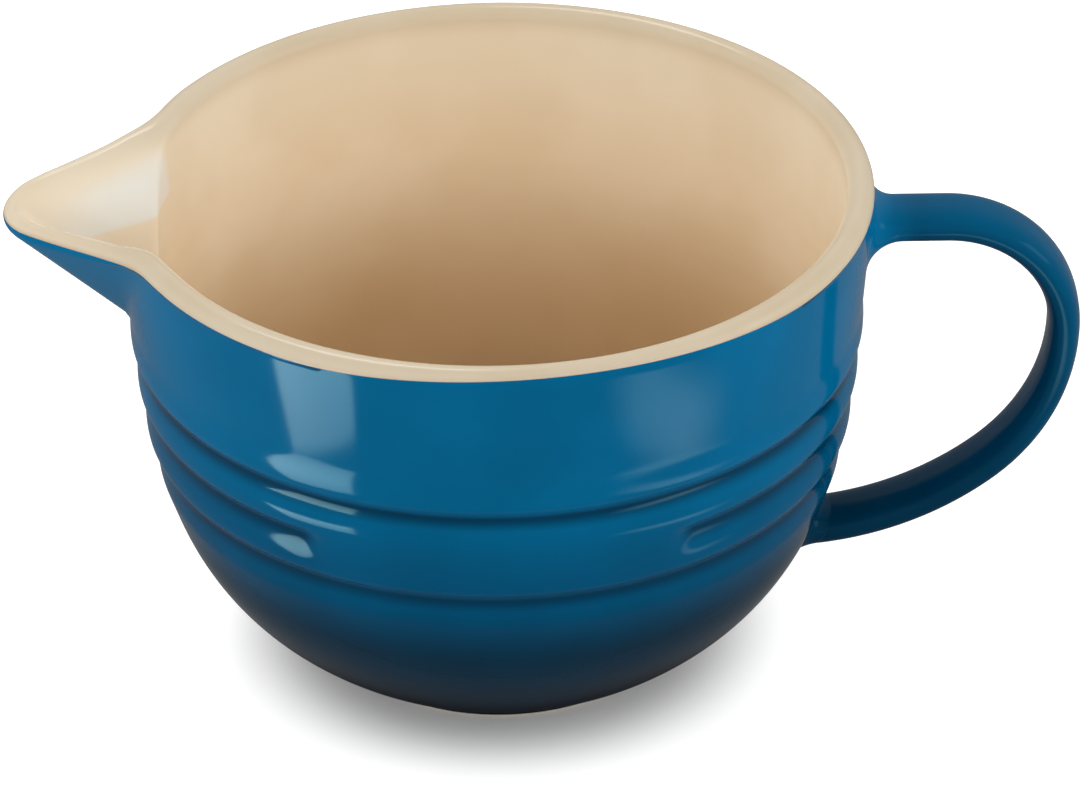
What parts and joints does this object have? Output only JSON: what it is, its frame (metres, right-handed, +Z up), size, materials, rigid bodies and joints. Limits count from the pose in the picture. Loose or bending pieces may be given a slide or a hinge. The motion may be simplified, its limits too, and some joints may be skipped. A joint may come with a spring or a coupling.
{
  "type": "batter bowl",
  "caption": "Deep round glazed stoneware batter bowl with a pulled pouring spout on one side, a strap loop handle opposite, and a ribbed band round the wall.",
  "frame": {"origin": "centre of the foot ring's flat, on the table", "axes": "+X towards the handle, -X towards the spout, -Y the front with the plain panel, +Z up"},
  "size_m": [0.2782, 0.195, 0.1365],
  "materials": {
    "stoneware": "bare fired stoneware, matt and slightly rough",
    "cream_glaze": "gloss cream glaze",
    "blue_glaze": "gloss deep teal-blue glaze",
    "handle_glaze": "gloss deep teal-blue glaze over stoneware",
    "slip_glaze": "gloss deep teal-blue glaze over fired slip"
  },
  "bodies": {
    "root": {"bowl_body": "stoneware", "liner_glaze": "cream_glaze", "outer_glaze": "blue_glaze", "handle": "handle_glaze", "upper_slip_joint": "slip_glaze", "lower_slip_joint": "slip_glaze"}
  },
  "joints": []
}
